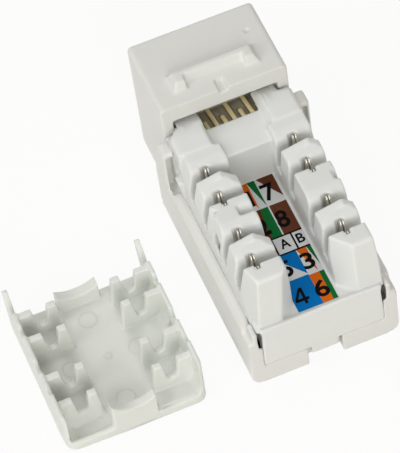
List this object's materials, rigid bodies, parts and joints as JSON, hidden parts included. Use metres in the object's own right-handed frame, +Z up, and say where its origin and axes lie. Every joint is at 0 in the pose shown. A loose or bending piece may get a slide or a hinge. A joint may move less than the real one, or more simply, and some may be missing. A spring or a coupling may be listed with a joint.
{
  "type": "keystone jack",
  "caption": "White twisted-pair keystone jack with a plug port, insulation-displacement wire slots, a colour wiring label and its loose wire cap",
  "frame": {"origin": "middle of the jack's width, under its rear end face, on the surface it rests on", "axes": "+Y from the wire slots towards the plug port, +Z up from the tray floor to the wire slots, +X to the right seen from the rear; the loose wire cap lies at -X"},
  "size_m": [0.0374, 0.0344, 0.0188],
  "materials": {
    "body_plastic": "white moulded plastic, satin",
    "block_plastic": "white moulded plastic, satin",
    "cap_plastic": "white moulded plastic, slightly translucent",
    "board_laminate": "green glass-epoxy board",
    "carrier_plastic": "dark moulded plastic",
    "label_film": "printed paper-like film with colour fields",
    "contact_tin": "tin-plated phosphor bronze",
    "contact_gold": "gold-plated phosphor bronze"
  },
  "bodies": {
    "root": {"housing": "body_plastic", "termination_block": "block_plastic", "circuit_board": "board_laminate", "contact_carrier": "carrier_plastic", "wiring_label": "label_film", "wire_cap": "cap_plastic", "idc_contact_1": "contact_tin", "idc_contact_2": "contact_tin", "idc_contact_3": "contact_tin", "idc_contact_4": "contact_tin", "idc_contact_5": "contact_tin", "idc_contact_6": "contact_tin", "idc_contact_7": "contact_tin", "idc_contact_8": "contact_tin", "spring_contact_1": "contact_gold", "spring_contact_2": "contact_gold", "spring_contact_3": "contact_gold", "spring_contact_4": "contact_gold", "spring_contact_5": "contact_gold", "spring_contact_6": "contact_gold", "spring_contact_7": "contact_gold", "spring_contact_8": "contact_gold"}
  },
  "joints": []
}
